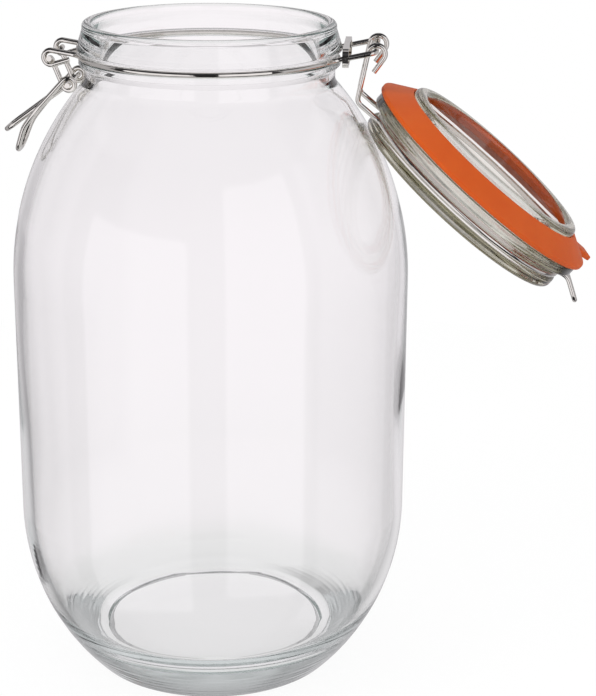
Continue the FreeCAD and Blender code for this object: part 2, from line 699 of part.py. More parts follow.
def open_angle():
    """How far the lid swings from closed until its outer disc leans on the shoulder, degrees."""
    hinge = (size("hinge_x"), size("hinge_z"))
    centre = (size("shoulder_x"), size("shoulder_height"))
    rounding = size("disc_round")
    edge = (size("disc_radius") - rounding - hinge[0], size("top_z") - rounding - hinge[1])
    arm = math.hypot(*edge)
    across = centre[0] - hinge[0]
    down = centre[1] - hinge[1]
    apart = math.hypot(across, down)
    reach = size("shoulder_radius") + rounding + size("lean_gap")
    corner = math.acos((apart ** 2 + arm ** 2 - reach ** 2) / (2 * apart * arm))
    leaning = math.atan2(down, across) + corner
    return math.degrees(math.atan2(edge[1], edge[0]) - leaning) % 360.0


def lever_lift():
    """How far the hanging lever is held out by the shoulder behind its eyelets, degrees."""
    pin = (size("pin_x"), size("pin_z"))
    aside = size("neck_radius - sqrt(neck_radius ^ 2 - (lever_half + eyelet_pitch / 2) ^ 2)")
    across = aside - size("shoulder_x") - pin[0]
    down = size("shoulder_height") - pin[1]
    apart = math.hypot(across, down)
    arm = math.hypot(size("eyelet_across"), size("eyelet_down"))
    reach = size("shoulder_radius + eyelet_radius + lever_wire / 2 + lean_gap")
    if apart + arm < reach:
        return 180.0
    corner = math.acos(max(-1.0, (apart ** 2 + arm ** 2 - reach ** 2) / (2 * apart * arm)))
    leaning = math.atan2(down, across) - corner
    hanging = math.atan2(-size("eyelet_down"), size("eyelet_across"))
    return max(0.0, math.degrees(hanging - leaning))


def swing(part, x, z, angle):
    """Turn a piece about a line across the jar."""
    turn = FreeCAD.Placement(V(0, 0, 0), FreeCAD.Rotation(V(0, 1, 0), angle), V(x, 0, z))
    part.Placement = turn.multiply(part.Placement)


# ---------------------------------------------------------------- all the pieces

on_lid = [make_lid(), make_rubber(), bent_wire("lid_wire", lid_wire_corners(), "lid_wire")]
for piece in on_lid:
    swing(piece, size("hinge_x"), size("hinge_z"), open_angle())
in_clasp = [bent_wire("lever", lever_corners(), "lever_wire"), bent_wire("link", link_corners(), "lid_wire")]
for piece in in_clasp:
    swing(piece, size("pin_x"), size("pin_z"), lever_lift())
PIECES = on_lid + in_clasp + [
    make_jar(),
    bent_wire("neck_wire", neck_wire_corners(), "neck_wire"),
    make_clamp(),
]
doc.recompute()

for thing in doc.Objects:
    if "Invalid" in thing.State or "Error" in thing.State:
        raise ValueError("%s did not compute: %s" % (thing.Label, thing.State))

os.makedirs("parts", exist_ok=True)
for piece in PIECES:
    shape = piece.Shape
    if shape.isNull() or not shape.isValid() or len(shape.Solids) != 1:
        raise ValueError("%s is not one valid solid" % piece.Label)
    shape.exportStep("parts/%s.step" % piece.Label)
    print("%-12s volume %10.1f  box %s" % (piece.Label, shape.Volume, shape.BoundBox))

print("hinge bar at x %.3f z %.3f, lid open by %.3f degrees"
      % (size("hinge_x"), size("hinge_z"), open_angle()))
print("lever pins at x %.3f z %.3f" % (size("pin_x"), size("pin_z")))
print("eyelets at x %.3f z %.3f, lever held out by %.3f degrees"
      % (size("eyelet_x"), size("eyelet_z"), lever_lift()))
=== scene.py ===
import json
import math

import bpy
import numpy as np
from mathutils import Matrix, Vector


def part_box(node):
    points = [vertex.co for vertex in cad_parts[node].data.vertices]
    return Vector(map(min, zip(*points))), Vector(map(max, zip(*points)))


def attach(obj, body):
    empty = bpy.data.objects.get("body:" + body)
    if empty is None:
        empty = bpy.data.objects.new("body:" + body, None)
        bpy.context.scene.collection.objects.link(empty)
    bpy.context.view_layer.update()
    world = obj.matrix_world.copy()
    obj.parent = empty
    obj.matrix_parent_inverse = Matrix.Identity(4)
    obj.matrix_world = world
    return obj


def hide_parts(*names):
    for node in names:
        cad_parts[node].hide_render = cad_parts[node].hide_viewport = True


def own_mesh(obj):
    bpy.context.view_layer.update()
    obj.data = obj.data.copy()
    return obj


# A clip-top preserving jar, open and empty, on a plain pale floor. The glass and the rubber are
# turned here as fine meshes in the construction's sizes; the underside, the heel's ripples and the
# hang of the rubber follow the photograph. The wire pieces are the construction's own, plated.

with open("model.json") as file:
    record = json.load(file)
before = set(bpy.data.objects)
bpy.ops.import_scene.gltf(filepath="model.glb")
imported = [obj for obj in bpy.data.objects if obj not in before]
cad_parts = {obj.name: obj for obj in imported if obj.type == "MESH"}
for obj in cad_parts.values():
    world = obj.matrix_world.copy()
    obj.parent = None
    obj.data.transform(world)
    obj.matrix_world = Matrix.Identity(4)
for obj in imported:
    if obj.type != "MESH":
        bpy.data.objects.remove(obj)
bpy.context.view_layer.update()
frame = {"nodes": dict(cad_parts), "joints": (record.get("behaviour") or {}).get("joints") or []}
MM = 0.001

# ------------------------------------------------------------------ sizes, millimetres

# The jar.
BODY_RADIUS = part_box("glass_jar")[1].x / MM
JAR_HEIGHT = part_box("glass_jar")[1].z / MM
WALL = 3.6
FLOOR_THICKNESS = 16.0
HEEL_HEIGHT = 64.0
HEEL_RADIUS = 90.0
FOOT_RADIUS = 4.0
INNER_CORNER = 20.0
FOOT_WIDTH = 2.6
HOLLOW_DEPTH = 2.4
KNURLS = 128
KNURL_DEPTH = 0.20
KNURL_SPAN = (0.7, 1.9)
RIPPLE_HEIGHT = 14.0
RIPPLE_STEP = 0.55
HEEL_STEP = 2.0
SHOULDER_HEIGHT = 155.5
NECK_RADIUS = 46.3
NECK_DROP = 21.5
NECK_FILLET = 4.0
BORE_RADIUS = 43.2
BEAD_RADIUS = 48.3
BEAD_WIDTH = 2.4
SKIRT_RADIUS = 49.2
SKIRT_HEIGHT = 7.6
SKIRT_PLAY = 0.4
LIP_RADIUS = 46.8
LIP_ROUND = 1.5
EDGE_ROUND = 0.7
NECK_WIRE = 2.0
WIRE_DROP = 11.6
SEAT_GAP = 0.05
GROOVE_ROUND = 0.3

# The lid, shut. Heights are above the flange's lower face.
SEAL_RISE = 3.3
PLUG_RADIUS = 39.4
PLUG_DEPTH = 10.0
PLUG_INNER = 34.6
RECESS_TAPER = 2.0
RECESS_HEIGHT = 5.4
PLUG_TAPER = 0.8
FLANGE_RADIUS = 48.6
FLANGE_HEIGHT = 3.8
GROOVE_RADIUS = 43.4
GROOVE_HEIGHT = 7.1
DISC_RADIUS = 45.6
LID_HEIGHT = 13.0
DISH_RADIUS = 38.0
DISH_DEPTH = 1.2
DISC_ROUND = 1.6
PLUG_ROUND = 2.0
SEAL_ROUND = 0.4
DISH_ROUND = 0.5
LID_WIRE = 1.9

# The rubber ring as it hangs on the open lid. The tab's flare is how far its root ends past its half
# width, and the width over which it slopes.
RING_THICKNESS = 1.9
RING_ROUND = 0.45
SLEEVE_DEPTH = 7.8
OPEN_RADIUS = 49.9
CONE_LIP = 3.0
RING_SQUEEZE = 0.15
TAB_LENGTH = 8.0
TAB_WIDTH = 8.0
TAB_FLARE = (1.6, 2.2)
TAB_ROOT = RING_ROUND + 0.1
TAB_TURN = 20.0

LID_HINGE = next(joint for joint in frame["joints"] if joint["name"] == "lid_hinge")
OPEN_ANGLE = 220.22

# How finely the outlines and the turned meshes are divided.
OUTLINE_STEP = 3.0
LID_STEP = 2.0
RING_STEP = 1.2
END_ROW = 0.25
CORNER_STEPS = 6
ARC_STEPS = 4
ON_AXIS = 1e-6
JAR_SEGMENTS = 256
RING_SEGMENTS = 288

# Unevenness. Ripples run level round the heel: amplitude, radians per mm of height, start.
RIPPLES = [(0.030, 2.9, 0.4), (0.022, 1.7, 1.1)]
RIPPLE_DRIFT = (0.012, 5, 0.9)
RIPPLE_INSET = 0.07
RIPPLE_FADE = (3.0, 40.0)
# Waves of the wall: amplitude, count round the jar, radians per mm of height, start. They move
# what lies above WAVE_FLOOR within WAVE_RADIUS: the inside, and of the outside the heel and the
# shoulder, but not the upright wall.
WAVES = [(0.10, 3, 0.021, 0.4), (0.06, 7, -0.034, 1.9), (0.03, 13, 0.05, 0.7), (0.05, 2, 0.09, 2.3)]
WAVE_FADE = 30.0
WAVE_FLOOR = HEEL_HEIGHT * 0.4
WAVE_RADIUS = BODY_RADIUS - WALL + 0.5
# The rubber's outer edge rises and sags: amplitude, count round the ring, start.
SAGS = [(0.03, 9, 0.7), (0.02, 23, 2.0)]


# ------------------------------------------------------------------ outlines

def rounded(before, corner, after, radius):
    """Points of the arc that rounds a corner between two straight sides."""
    back = (before - corner).normalized()
    ahead = (after - corner).normalized()
    half = back.angle(ahead) / 2
    reach = radius / math.tan(half)
    centre = corner + (back + ahead).normalized() * (radius / math.sin(half))
    start = corner + back * reach - centre
    end = corner + ahead * reach - centre
    turn = start.angle_signed(end)
    points = []
    for index in range(CORNER_STEPS + 1):
        angle = -turn * index / CORNER_STEPS
        points.append(centre + Matrix.Rotation(angle, 2) @ start)
    return points


def arc(start, end, radius, side, step):
    """Points after the start along the short arc; its centre is left (+1) or right (-1)."""
    chord = end - start
    across = Vector((-chord.y, chord.x)).normalized() * side
    centre = (start + end) / 2 + across * math.sqrt(max(radius ** 2 - chord.length_squared / 4, 0))
    turn = 2 * math.asin(min(chord.length / 2 / radius, 1)) * side
    count = max(ARC_STEPS, math.ceil(abs(turn) * radius / step))
    arm = start - centre
    return [centre + Matrix.Rotation(turn * (index + 1) / count, 2) @ arm for index in range(count)]


def straight(start, end, step):
    """Points between two places, with one close to each end so that shading stays crisp."""
    length = (end - start).length
    if length < 4 * END_ROW:
        return []
    count = max(1, math.ceil(length / step))
    shares = {END_ROW / length, 1 - END_ROW / length}
    shares.update(index / count for index in range(1, count))
    return [start.lerp(end, share) for share in sorted(shares)]


def outline(corners, step=OUTLINE_STEP):
    """Dense points of an outline. A corner is (x, z), (x, z, "round", radius) where two
    straight sides meet, or (x, z, "arc", radius, side, step) where an arc leads to it; the
    step may be left out."""
    places = [Vector(corner[:2]) for corner in corners]
    points = [places[0]]
    for index in range(1, len(corners)):
        corner = corners[index]
        kind = corner[2] if len(corner) > 2 else "line"
        if kind == "arc":
            pace = corner[5] if len(corner) > 5 else step
            points += arc(points[-1], places[index], corner[3], corner[4], pace)
            continue
        if kind == "round":
            bend = rounded(places[index - 1], places[index], places[index + 1], corner[3])
        else:
            bend = [places[index]]
        points += straight(points[-1], bend[0], step)
        points += bend
    return points


def on_heel(z):
    """Radius of the outside at a height on the heel's curve."""
    below = max(HEEL_HEIGHT - z, 0.0)
    return BODY_RADIUS - HEEL_RADIUS + math.sqrt(HEEL_RADIUS ** 2 - below ** 2)


# Where the heel's curve meets the foot's, and the ring that the jar stands on.
HEEL_TURN = math.asin((HEEL_HEIGHT - FOOT_RADIUS) / (HEEL_RADIUS - FOOT_RADIUS))
HEEL_X = BODY_RADIUS - HEEL_RADIUS * (1 - math.cos(HEEL_TURN))
HEEL_Z = HEEL_HEIGHT - HEEL_RADIUS * math.sin(HEEL_TURN)
FOOT_X = HEEL_X - FOOT_RADIUS * math.cos(HEEL_TURN)
FOOT_INNER = FOOT_X - FOOT_WIDTH


def jar_outline():
    """The jar's section: from under the foot up the outside, over the rim, down the inside."""
    neck_z = JAR_HEIGHT - NECK_DROP
    step_in = BODY_RADIUS - NECK_RADIUS
    shoulder = ((neck_z - SHOULDER_HEIGHT) ** 2 + step_in ** 2) / (2 * step_in)
    shoulder_x = BODY_RADIUS - shoulder
    fillet_x = NECK_RADIUS + NECK_FILLET
    reach = shoulder + NECK_FILLET
    fillet_z = SHOULDER_HEIGHT + math.sqrt(reach ** 2 - (fillet_x - shoulder_x) ** 2)
    shoulder_end = (shoulder_x + (fillet_x - shoulder_x) * shoulder / reach,
                    SHOULDER_HEIGHT + (fillet_z - SHOULDER_HEIGHT) * shoulder / reach)
    inner = shoulder - WALL
    throat = NECK_FILLET + NECK_RADIUS - BORE_RADIUS
    throat_x = BORE_RADIUS + throat
    throat_reach = inner + throat
    throat_z = SHOULDER_HEIGHT + math.sqrt(throat_reach ** 2 - (throat_x - shoulder_x) ** 2)
    inner_end = (shoulder_x + (throat_x - shoulder_x) * inner / throat_reach,
                 SHOULDER_HEIGHT + (throat_z - SHOULDER_HEIGHT) * inner / throat_reach)
    inner_radius = BODY_RADIUS - WALL
    inner_heel = HEEL_RADIUS - WALL
    floor_drop = HEEL_HEIGHT - FLOOR_THICKNESS - INNER_CORNER
    floor_turn = math.asin(floor_drop / (inner_heel - INNER_CORNER))
    curve_x = inner_radius - inner_heel * (1 - math.cos(floor_turn))
    curve_z = HEEL_HEIGHT - inner_heel * math.sin(floor_turn)
    floor_x = curve_x - INNER_CORNER * math.cos(floor_turn)
    wire_z = JAR_HEIGHT - WIRE_DROP
    seat = NECK_WIRE / 2 + SEAT_GAP
    groove_x = SKIRT_RADIUS - NECK_WIRE
    bead_top = wire_z - seat - SEAT_GAP
    bead_foot = bead_top - BEAD_WIDTH
    skirt_z = wire_z + seat + SKIRT_PLAY
    return outline([
        (0.0, HOLLOW_DEPTH),
        (FOOT_INNER - HOLLOW_DEPTH, HOLLOW_DEPTH, "round", EDGE_ROUND),
        (FOOT_INNER, 0.0, "round", EDGE_ROUND),
        (FOOT_INNER + KNURL_SPAN[0], 0.0),
        (FOOT_INNER + KNURL_SPAN[1], 0.0),
        (FOOT_X, 0.0),
        (HEEL_X, HEEL_Z, "arc", FOOT_RADIUS, 1, RIPPLE_STEP),
        (on_heel(RIPPLE_HEIGHT), RIPPLE_HEIGHT, "arc", HEEL_RADIUS, 1, RIPPLE_STEP),
        (BODY_RADIUS, HEEL_HEIGHT, "arc", HEEL_RADIUS, 1, HEEL_STEP),
        (BODY_RADIUS, SHOULDER_HEIGHT),
        (*shoulder_end, "arc", shoulder, 1),
        (NECK_RADIUS, fillet_z, "arc", NECK_FILLET, -1),
        (NECK_RADIUS, bead_foot - BEAD_RADIUS + NECK_RADIUS, "round", GROOVE_ROUND),
        (BEAD_RADIUS, bead_foot, "round", EDGE_ROUND),
        (BEAD_RADIUS, bead_top, "round", EDGE_ROUND),
        (groove_x, bead_top, "round", GROOVE_ROUND),
        (groove_x, skirt_z, "round", GROOVE_ROUND),
        (SKIRT_RADIUS, skirt_z, "round", EDGE_ROUND),
        (LIP_RADIUS, skirt_z + SKIRT_HEIGHT),
        (LIP_RADIUS, JAR_HEIGHT, "round", LIP_ROUND),
        (BORE_RADIUS, JAR_HEIGHT, "round", LIP_ROUND),
        (BORE_RADIUS, throat_z),
        (*inner_end, "arc", throat, 1),
        (inner_radius, SHOULDER_HEIGHT, "arc", inner, -1),
        (inner_radius, HEEL_HEIGHT),
        (curve_x, curve_z, "arc", inner_heel, -1),
        (floor_x, FLOOR_THICKNESS, "arc", INNER_CORNER, -1),
        (0.0, FLOOR_THICKNESS),
    ])


def lid_outline():
    """The shut lid's section: from the recess round the plug, the flange and the disc."""
    seal = JAR_HEIGHT + SEAL_RISE
    plug_z = seal - PLUG_DEPTH
    recess_x = PLUG_INNER - RECESS_TAPER
    recess_z = seal + RECESS_HEIGHT
    wire_z = seal + GROOVE_HEIGHT
    seat = LID_WIRE / 2 + SEAT_GAP
    top = seal + LID_HEIGHT
    return outline([
        (0.0, recess_z),
        (recess_x, recess_z, "round", PLUG_ROUND),
        (PLUG_INNER, plug_z, "round", PLUG_ROUND),
        (PLUG_RADIUS, plug_z, "round", PLUG_ROUND),
        (PLUG_RADIUS + PLUG_TAPER, seal, "round", SEAL_ROUND),
        (FLANGE_RADIUS, seal, "round", EDGE_ROUND),
        (FLANGE_RADIUS, seal + FLANGE_HEIGHT, "round", EDGE_ROUND),
        (GROOVE_RADIUS, wire_z - seat, "round", GROOVE_ROUND),
        (GROOVE_RADIUS, wire_z + seat, "round", GROOVE_ROUND),
        (DISC_RADIUS, wire_z + seat, "round", DISC_ROUND),
        (DISC_RADIUS, top, "round", DISC_ROUND),
        (DISH_RADIUS, top, "round", DISH_ROUND),
        (DISH_RADIUS - DISH_DEPTH, top - DISH_DEPTH, "round", DISH_ROUND),
        (0.0, top - DISH_DEPTH),
    ], step=LID_STEP)


# ------------------------------------------------------------------ turned meshes

def new_piece(name, vertices, faces):
    """A smooth object of a mesh, in the scene."""
    mesh = bpy.data.meshes.new(name)
    mesh.from_pydata(vertices, [], faces)
    mesh.shade_smooth()
    piece = bpy.data.objects.new(name, mesh)
    bpy.context.scene.collection.objects.link(piece)
    return piece


def turned_mesh(name, points, count, shift=None):
    """A closed surface turned about Z from outline points in millimetres.

    shift(x, z, angles) gives what is added to the radius and the height round each point.
    """
    angles = np.arange(count) * 2 * math.pi / count
    vertices = []
    rows = []
    for point in points:
        if point.x < ON_AXIS:
            rows.append([len(vertices)])
            vertices.append((0.0, 0.0, point.y * MM))
            continue
        radius = np.full(count, point.x)
        height = np.full(count, point.y)
        if shift is not None:
            outward, upward = shift(point.x, point.y, angles)
            radius = radius + outward
            height = height + upward
        rows.append(list(range(len(vertices), len(vertices) + count)))
        vertices += zip(radius * np.cos(angles) * MM, radius * np.sin(angles) * MM, height * MM)
    faces = []
    for low, high in zip(rows, rows[1:]):
        for index in range(count):
            after = (index + 1) % count
            if len(low) == 1:
                faces.append((low[0], high[after], high[index]))
            elif len(high) == 1:
                faces.append((low[index], low[after], high[0]))
            else:
                faces.append((low[index], low[after], high[after], high[index]))
    return new_piece(name, vertices, faces)


def opened():
    """The turn about the hinge that brings the closed lid to where it leans open."""
    hinge = Vector(LID_HINGE["pos_m"])
    turn = Matrix.Rotation(math.radians(OPEN_ANGLE), 4, "Y")
    return Matrix.Translation(hinge) @ turn @ Matrix.Translation(-hinge)


def foot_of_jar(x, z, angles):
    """Dimples round the bearing ring, and the fine level ripples a cold mould leaves."""
    close = 0.01
    if z < close and FOOT_INNER + KNURL_SPAN[0] - close < x < FOOT_INNER + KNURL_SPAN[1] + close:
        return 0.0, KNURL_DEPTH * (1 + np.cos(KNURLS * angles)) / 2
    fade = max(0.0, 1.0 - z / RIPPLE_FADE[1]) * min(1.0, z / RIPPLE_FADE[0])
    wave = sum(size * math.sin(pace * z + start) for size, pace, start in RIPPLES)
    size, count, pace = RIPPLE_DRIFT
    drift = size * np.sin(count * angles + pace * z)
    return (wave + drift - RIPPLE_INSET) * fade, 0.0


def uneven_jar(x, z, angles):
    """The foot's dimples and ripples, and above them the slow waves of a blown jar's wall."""
    neck_z = JAR_HEIGHT - NECK_DROP
    if z < WAVE_FLOOR and x > on_heel(z) - WALL / 2:
        return foot_of_jar(x, z, angles)
    if x > WAVE_RADIUS or z < WAVE_FLOOR or z > neck_z:
        return 0.0, 0.0
    fade = min(1.0, (neck_z - z) / WAVE_FADE, (z - WAVE_FLOOR) / WAVE_FADE)
    wave = sum(size * np.sin(count * angles + pace * z + start) for size, count, pace, start in WAVES)
    return wave * fade, 0.0


# ------------------------------------------------------------------ materials

def new_material(name):
    """An empty node material, its tree and its output."""
    material = bpy.data.materials.new(name)
    material.use_nodes = True
    tree = material.node_tree
    tree.nodes.clear()
    output = tree.nodes.new("ShaderNodeOutputMaterial")
    return material, tree, output


def add(tree, kind, **settings):
    """A shader node of a kind, with its settings."""
    node = tree.nodes.new("ShaderNode" + kind)
    for key, value in settings.items():
        setattr(node, key, value)
    return node


def noise(tree, scale, detail=2.0, roughness=0.5):
    """Noise over the object, its scale per metre."""
    place = add(tree, "TexCoord")
    grain = add(tree, "TexNoise")
    grain.inputs["Scale"].default_value = scale
    grain.inputs["Detail"].default_value = detail
    grain.inputs["Roughness"].default_value = roughness
    tree.links.new(place.outputs["Object"], grain.inputs["Vector"])
    return grain.outputs["Fac"]


def bump(tree, height, strength, distance):
    """A normal from a height; the distance is in metres."""
    node = add(tree, "Bump")
    node.inputs["Strength"].default_value = strength
    node.inputs["Distance"].default_value = distance
    tree.links.new(height, node.inputs["Height"])
    return node.outputs["Normal"]


def spread(tree, value, low, high):
    """A value from 0 to 1 brought to run from low to high."""
    node = add(tree, "MapRange")
    node.inputs["To Min"].default_value = low
    node.inputs["To Max"].default_value = high
    tree.links.new(value, node.inputs["Value"])
    return node.outputs["Result"]


def ramp(tree, value, low, high):
    """A colour between two, by a value."""
    node = add(tree, "ValToRGB")
    node.color_ramp.elements[0].color = (*low, 1.0)
    node.color_ramp.elements[1].color = (*high, 1.0)
    tree.links.new(value, node.inputs["Fac"])
    return node.outputs["Color"]


# Noise is given by its scale per metre, then detail and roughness where they aren't the usual; a
# bump by its strength and its depth in metres.
GLASS_IOR = 1.52
GLASS_CLOUDS = 30.0
GLASS_HAZE = 0.012
GLASS_SHADOW = (0.95, 0.96, 0.96)
JAR_TINT = (0.83, 0.870, 0.862)
JAR_DENSITY = 17.0
JAR_WAVES = (18.0, 0.015)
LID_TINT = (0.70, 0.69, 0.585)
LID_DENSITY = 40.0
LID_WAVES = (25.0, 0.012)


def glass(name, tint, density, waves):
    """Clear glass that darkens to its tint the further light runs in it. The waves are the
    scale and the strength of what little unevenness its surface has."""
    material, tree, output = new_material(name)
    shader = add(tree, "BsdfPrincipled")
    shader.inputs["Base Color"].default_value = (1.0, 1.0, 1.0, 1.0)
    shader.inputs["Transmission Weight"].default_value = 1.0
    shader.inputs["IOR"].default_value = GLASS_IOR
    haze = spread(tree, noise(tree, GLASS_CLOUDS), 0.0, GLASS_HAZE)
    tree.links.new(haze, shader.inputs["Roughness"])
    scale, strength = waves
    surface = bump(tree, noise(tree, scale, 1.0), strength, MM)
    tree.links.new(surface, shader.inputs["Normal"])
    path = add(tree, "LightPath")
    clear = add(tree, "BsdfTransparent")
    clear.inputs["Color"].default_value = (*GLASS_SHADOW, 1.0)
    mix = add(tree, "MixShader")
    tree.links.new(path.outputs["Is Shadow Ray"], mix.inputs["Fac"])
    tree.links.new(shader.outputs["BSDF"], mix.inputs[1])
    tree.links.new(clear.outputs["BSDF"], mix.inputs[2])
    tree.links.new(mix.outputs["Shader"], output.inputs["Surface"])
    inside = add(tree, "VolumeAbsorption")
    inside.inputs["Color"].default_value = (*tint, 1.0)
    inside.inputs["Density"].default_value = density
    tree.links.new(inside.outputs["Volume"], output.inputs["Volume"])
    return material


PLATING_DULL = (0.70, 0.68, 0.64)
PLATING_BRIGHT = (0.92, 0.90, 0.86)
PLATING_CLOUDS = (220.0, 3.0)
PLATING_HAZE = (400.0, 4.0)
PLATING_SPREAD = (0.6, 1.5)
PLATING_GRAIN = 900.0
PLATING_BUMP = (0.12, 0.1 * MM)
WIRE_ROUGHNESS = 0.06
STRIP_ROUGHNESS = 0.10


def plated(name, roughness):
    """Bright plated steel with a little haze and cloudiness."""
    material, tree, output = new_material(name)
    shader = add(tree, "BsdfPrincipled")
    shader.inputs["Metallic"].default_value = 1.0
    tone = ramp(tree, noise(tree, *PLATING_CLOUDS), PLATING_DULL, PLATING_BRIGHT)
    tree.links.new(tone, shader.inputs["Base Color"])
    least, most = PLATING_SPREAD
    haze = spread(tree, noise(tree, *PLATING_HAZE), roughness * least, roughness * most)
    tree.links.new(haze, shader.inputs["Roughness"])
    surface = bump(tree, noise(tree, PLATING_GRAIN), *PLATING_BUMP)
    tree.links.new(surface, shader.inputs["Normal"])
    tree.links.new(shader.outputs["BSDF"], output.inputs["Surface"])
    return material


RUBBER_DEEP = (0.50, 0.068, 0.007)
RUBBER_LIGHT = (0.62, 0.108, 0.012)
RUBBER_CLOUDS = (60.0, 4.0, 0.6)
RUBBER_ROUGHNESS = 0.5
RUBBER_SPECULAR = 0.2
RUBBER_GLOW = 0.25
RUBBER_SCATTER = (1.0, 0.35, 0.1)
RUBBER_REACH = 1.5 * MM
RUBBER_GRAIN = (700.0, 3.0)
RUBBER_BUMP = (0.10, 0.2 * MM)


def rubber_material():
    """Soft orange rubber, matt, with a little light coming through."""
    material, tree, output = new_material("orange_rubber")
    shader = add(tree, "BsdfPrincipled")
    tone = ramp(tree, noise(tree, *RUBBER_CLOUDS), RUBBER_DEEP, RUBBER_LIGHT)
    tree.links.new(tone, shader.inputs["Base Color"])
    shader.inputs["Roughness"].default_value = RUBBER_ROUGHNESS
    shader.inputs["Specular IOR Level"].default_value = RUBBER_SPECULAR
    shader.inputs["Subsurface Weight"].default_value = RUBBER_GLOW
    shader.inputs["Subsurface Radius"].default_value = RUBBER_SCATTER
    shader.inputs["Subsurface Scale"].default_value = RUBBER_REACH
    surface = bump(tree, noise(tree, *RUBBER_GRAIN), *RUBBER_BUMP)
    tree.links.new(surface, shader.inputs["Normal"])
    tree.links.new(shader.outputs["BSDF"], output.inputs["Surface"])
    return material


# ------------------------------------------------------------------ pieces

def make_jar():
    jar = turned_mesh("jar_body", jar_outline(), JAR_SEGMENTS, uneven_jar)
    jar.data.materials.append(glass("jar_glass", JAR_TINT, JAR_DENSITY, JAR_WAVES))
    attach(jar, "jar")
    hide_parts("glass_jar")


def make_lid():
    lid = turned_mesh("lid_body", lid_outline(), JAR_SEGMENTS)
    lid.data.transform(opened())
    lid.data.materials.append(glass("lid_glass", LID_TINT, LID_DENSITY, LID_WAVES))
    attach(lid, "lid")
    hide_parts("lid_glass")


def tab_pull(angles):
    """How far the pull tab draws the ring's edge outward at each angle."""
    middle = math.pi - math.radians(TAB_TURN)
    across = np.abs((angles - middle + math.pi) % (2 * math.pi) - math.pi) * OPEN_RADIUS
    flare, fade = TAB_FLARE
    share = np.clip((TAB_WIDTH / 2 + flare - across) / fade, 0.0, 1.0)
    return TAB_LENGTH * share * share * (3 - 2 * share)


def make_rubber():
    """On the open lid the ring is a cone, its inner edge hanging low on the plug; the mesh keeps
    this shape, though the closing lid presses the real ring flat. The pull tab grows from the outer
    edge."""
    seal = JAR_HEIGHT + SEAL_RISE
    inner = PLUG_RADIUS + PLUG_TAPER + RING_SQUEEZE
    top = seal - RING_SQUEEZE
    hang = top - SLEEVE_DEPTH
    tip_inner = inner - PLUG_TAPER * SLEEVE_DEPTH / PLUG_DEPTH
    lip_inner = inner - PLUG_TAPER * (SLEEVE_DEPTH - CONE_LIP) / PLUG_DEPTH
    middle = ((OPEN_RADIUS + lip_inner) / 2, (top + hang + CONE_LIP) / 2)
    loop = outline([
        middle,
        (lip_inner, hang + CONE_LIP, "round", RING_ROUND),
        (tip_inner, hang, "round", RING_ROUND),
        (OPEN_RADIUS, top - RING_THICKNESS, "round", RING_ROUND),
        (OPEN_RADIUS, top, "round", RING_ROUND),
        middle,
    ], step=RING_STEP)[:-1]
    angles = np.arange(RING_SEGMENTS) * 2 * math.pi / RING_SEGMENTS
    pull = tab_pull(angles)
    sag = sum(size * np.sin(count * angles + start) for size, count, start in SAGS)
    vertices = []
    for point in loop:
        out = (point.x - tip_inner) / (OPEN_RADIUS - tip_inner)
        radius = point.x + pull * (point.x > OPEN_RADIUS - TAB_ROOT)
        height = point.y + sag * out
        vertices += zip(radius * np.cos(angles) * MM, radius * np.sin(angles) * MM, height * MM)
    faces = []
    for row in range(len(loop)):
        here = row * RING_SEGMENTS
        ahead = (row + 1) % len(loop) * RING_SEGMENTS
        for index in range(RING_SEGMENTS):
            after = (index + 1) % RING_SEGMENTS
            faces.append((here + index, ahead + index, ahead + after, here + after))
    seal_ring = new_piece("rubber_seal", vertices, faces)
    seal_ring.data.transform(opened())
    seal_ring.data.materials.append(rubber_material())
    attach(seal_ring, "lid")
    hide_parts("rubber_ring")
    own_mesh(seal_ring)


def finish_wires():
    """The construction's own wires and strip get the plating."""
    wire = plated("plated_wire", WIRE_ROUGHNESS)
    strip = plated("plated_strip", STRIP_ROUGHNESS)
    for name in ("neck_wire", "lid_wire", "lever", "link", "ring_clamp"):
        node = frame["nodes"][name]
        node.data.materials.clear()
        node.data.materials.append(strip if name == "ring_clamp" else wire)


# ------------------------------------------------------------------ studio

# The floor: a small white table top that shows the camera only a faint shadow.
TABLE_RADIUS = 0.45
TABLE_SEGMENTS = 96
TABLE_GAP = 0.0002
TABLE_WHITE = (0.98, 0.98, 0.98)
SHADOW_SHARE = 0.12

BLACK = (0.0, 0.0, 0.0)
WHITE = (1.0, 1.0, 1.0)

# The room. Turns are degrees round from the front, where the camera stands; heights are the
# direction's rise, -1 to 1. The backdrop fades in between two turns and fills the back.
BACKDROP_TURNS = (118.0, 164.0)
ROOM_GREY = 0.72

# What metal and glass mirror: a dark front with light panels, a grey back, a dark band overhead.
# A panel's edges are soft over so many degrees and so much height, the band's over its own height.
FRONT_GREY = 0.02
BEHIND_GREY = 0.55
PANELS = [
    # turn and height of the direction, each from and to, and brightness
    (-70.0, -8.0, -0.70, 0.28, 1.8),
    (15.0, 60.0, -0.60, 0.60, 1.8),
    (70.0, 128.0, -0.80, 0.60, 0.55),
    (-128.0, -86.0, -0.90, 0.60, 0.45),
]
PANEL_EDGES = (3.0, 0.05)
MIRRORED_TINT = (1.0, 0.97, 1.0)
CEILING = (0.05, 0.05, 0.055)
CEILING_HEIGHTS = (0.62, 0.93)
CEILING_EDGE = 0.04
